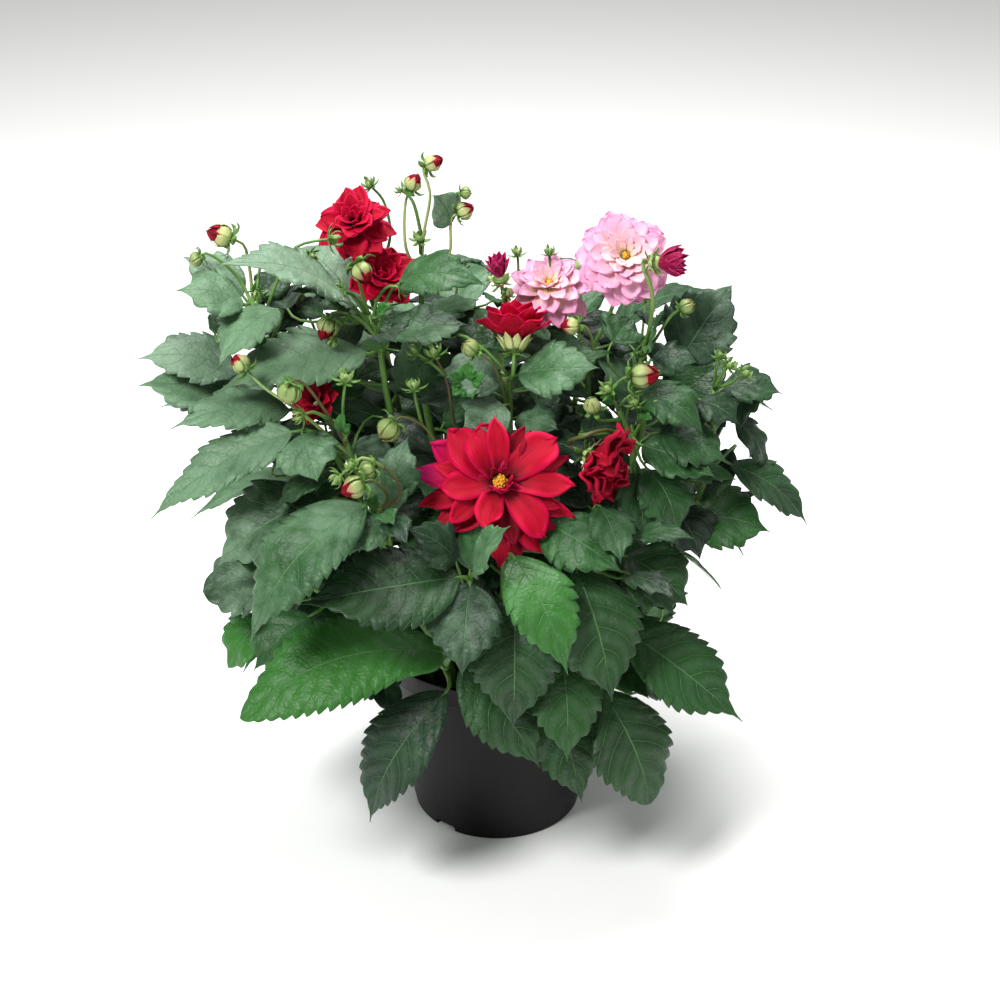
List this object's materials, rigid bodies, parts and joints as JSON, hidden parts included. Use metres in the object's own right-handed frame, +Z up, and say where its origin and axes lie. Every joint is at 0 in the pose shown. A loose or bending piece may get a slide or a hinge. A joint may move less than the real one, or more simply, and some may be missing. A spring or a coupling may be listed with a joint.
{
  "type": "potted dahlia",
  "caption": "Bushy potted dahlia in a black nursery pot: toothed green leaves, red, pink and magenta blooms and small buds above potting soil.",
  "frame": {"origin": "centre of the pot's flat underside", "axes": "+Z up along the pot's axis, -Y towards the front of the plant, +X to the viewer's right"},
  "size_m": [0.4236, 0.3678, 0.4642],
  "materials": {
    "pot": "satin black plastic",
    "soil": "crumbly and damp",
    "leaf": "slightly glossy, veined",
    "petal_red": "velvety",
    "petal_dark_red": "velvety",
    "petal_pink": "velvety, cream at the petal bases",
    "petal_magenta": "velvety",
    "disc": "matt and grainy"
  },
  "bodies": {
    "root": {"pot": "pot", "soil": "soil", "stem_rear_left": "leaf", "stem_top_left": "leaf", "stem_red_rear": "leaf", "stem_side_left": "leaf", "stem_mid_left": "leaf", "stem_front_left": "leaf", "stem_front_centre": "leaf", "stem_low_left": "leaf", "stem_low_side": "leaf", "stem_bloom_front": "leaf", "stem_centre": "leaf", "stem_low_right": "leaf", "stem_right_front": "leaf", "stem_right_mid": "leaf", "stem_right_side": "leaf", "stem_rear_right": "leaf", "stem_pink": "leaf", "stem_rear_far_left": "leaf", "stem_rear_middle_left": "leaf", "stem_rear_middle_right": "leaf", "stem_rear_far_right": "leaf", "red_upper_petals": "petal_red", "red_lower_petals": "petal_red", "red_hidden_petals": "petal_dark_red", "red_front_petals": "petal_red", "red_front_disc": "disc", "red_middle_petals": "petal_red", "magenta_left_petals": "petal_magenta", "red_crumpled_petals": "petal_dark_red", "magenta_right_petals": "petal_magenta", "pink_right_petals": "petal_pink", "pink_right_disc": "disc", "pink_left_petals": "petal_pink", "pink_left_disc": "disc", "bud_tip_nodding": "petal_dark_red", "bud_tip_hanging": "petal_dark_red", "bud_tip_top": "petal_dark_red", "bud_tip_top_left": "petal_dark_red", "bud_tip_top_right": "petal_dark_red", "bud_tip_left": "petal_dark_red", "bud_tip_low_left": "petal_dark_red", "bud_tip_front_left": "petal_dark_red", "bud_tip_right": "petal_dark_red", "bud_tip_pink": "petal_dark_red"}
  },
  "joints": []
}
